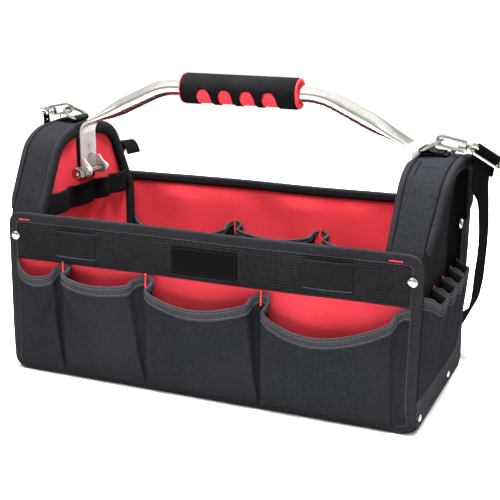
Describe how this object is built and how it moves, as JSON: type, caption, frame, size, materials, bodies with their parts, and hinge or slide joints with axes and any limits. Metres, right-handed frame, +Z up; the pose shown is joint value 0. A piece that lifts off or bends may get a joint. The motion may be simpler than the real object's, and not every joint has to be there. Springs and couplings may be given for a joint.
{
  "type": "tool bag",
  "caption": "Open-top tool bag with stiff arched ends, a bent steel tube handle with a foam grip, rows of sewn pockets and a shoulder strap on snap hooks.",
  "frame": {"origin": "middle of the underside of the base, on the surface that the bag stands on", "axes": "+Z up, +X along the bag towards the end with the outer pockets, the front wall faces -Y"},
  "size_m": [0.5106, 0.261, 0.3084],
  "materials": {
    "black_cloth": "coarse woven nylon",
    "red_cloth": "woven nylon lining",
    "binding_tape": "ribbed binding tape",
    "webbing": "ribbed webbing",
    "nickel_steel": "nickel plated",
    "black_foam": "fine cell foam",
    "red_foam": "fine cell foam"
  },
  "bodies": {
    "root": {"base_panel": "black_cloth", "front_panel": "red_cloth", "back_panel": "red_cloth", "front_edge_binding": "binding_tape", "back_edge_binding": "binding_tape", "bottom_binding_front": "binding_tape", "bottom_binding_back": "binding_tape", "end_outer_left": "black_cloth", "end_outer_right": "black_cloth", "end_lining_left": "red_cloth", "end_lining_right": "red_cloth", "end_gusset_left": "black_cloth", "end_gusset_right": "black_cloth", "arch_binding_outer_left": "binding_tape", "arch_binding_outer_right": "binding_tape", "arch_binding_inner_left": "binding_tape", "arch_binding_inner_right": "binding_tape", "end_base_band_left": "black_cloth", "end_base_band_right": "black_cloth", "front_webbing_band": "webbing", "band_loop_left": "webbing", "band_loop_right": "webbing", "band_patch": "webbing", "front_pockets": "black_cloth", "front_pockets_binding": "binding_tape", "back_inner_pockets": "black_cloth", "back_inner_pockets_binding": "binding_tape", "right_end_pockets": "black_cloth", "right_end_pockets_binding": "binding_tape", "left_loop_band": "webbing", "handle": "nickel_steel", "grip_core": "red_foam", "grip_skin": "black_foam", "handle_bracket_left": "nickel_steel", "handle_bracket_right": "nickel_steel", "hinge_bolt_left": "nickel_steel", "hinge_bolt_right": "nickel_steel", "anchor_webbing_left": "webbing", "anchor_webbing_right": "webbing", "dring_left": "nickel_steel", "dring_right": "nickel_steel", "dring_tab_left": "webbing", "dring_tab_right": "webbing", "hook_body_left": "nickel_steel", "hook_body_right": "nickel_steel", "hook_swivel_left": "nickel_steel", "hook_swivel_right": "nickel_steel", "strap_loop_left": "nickel_steel", "strap_loop_right": "nickel_steel", "strap": "webbing", "strap_tail": "webbing", "front_snap_left": "nickel_steel", "front_snap_right": "nickel_steel", "end_snap_right": "nickel_steel", "end_rivet_front": "nickel_steel", "end_rivet_rear": "nickel_steel"},
    "gate_left": {"hook_gate_left": "nickel_steel"},
    "gate_right": {"hook_gate_right": "nickel_steel"}
  },
  "joints": [
    {"name": "gate_left_hinge", "type": "hinge", "parent": "root", "child": "gate_left", "pos_m": [-0.22327, 0, 0.25542], "axis": [0, -1, 0], "range_deg": [0, 18], "stiffness_Nm_per_rad": 0.02, "springref_deg": -11.46},
    {"name": "gate_right_hinge", "type": "hinge", "parent": "root", "child": "gate_right", "pos_m": [0.22327, 0, 0.24792], "axis": [0, 1, 0], "range_deg": [0, 18], "stiffness_Nm_per_rad": 0.02, "springref_deg": -11.46}
  ]
}
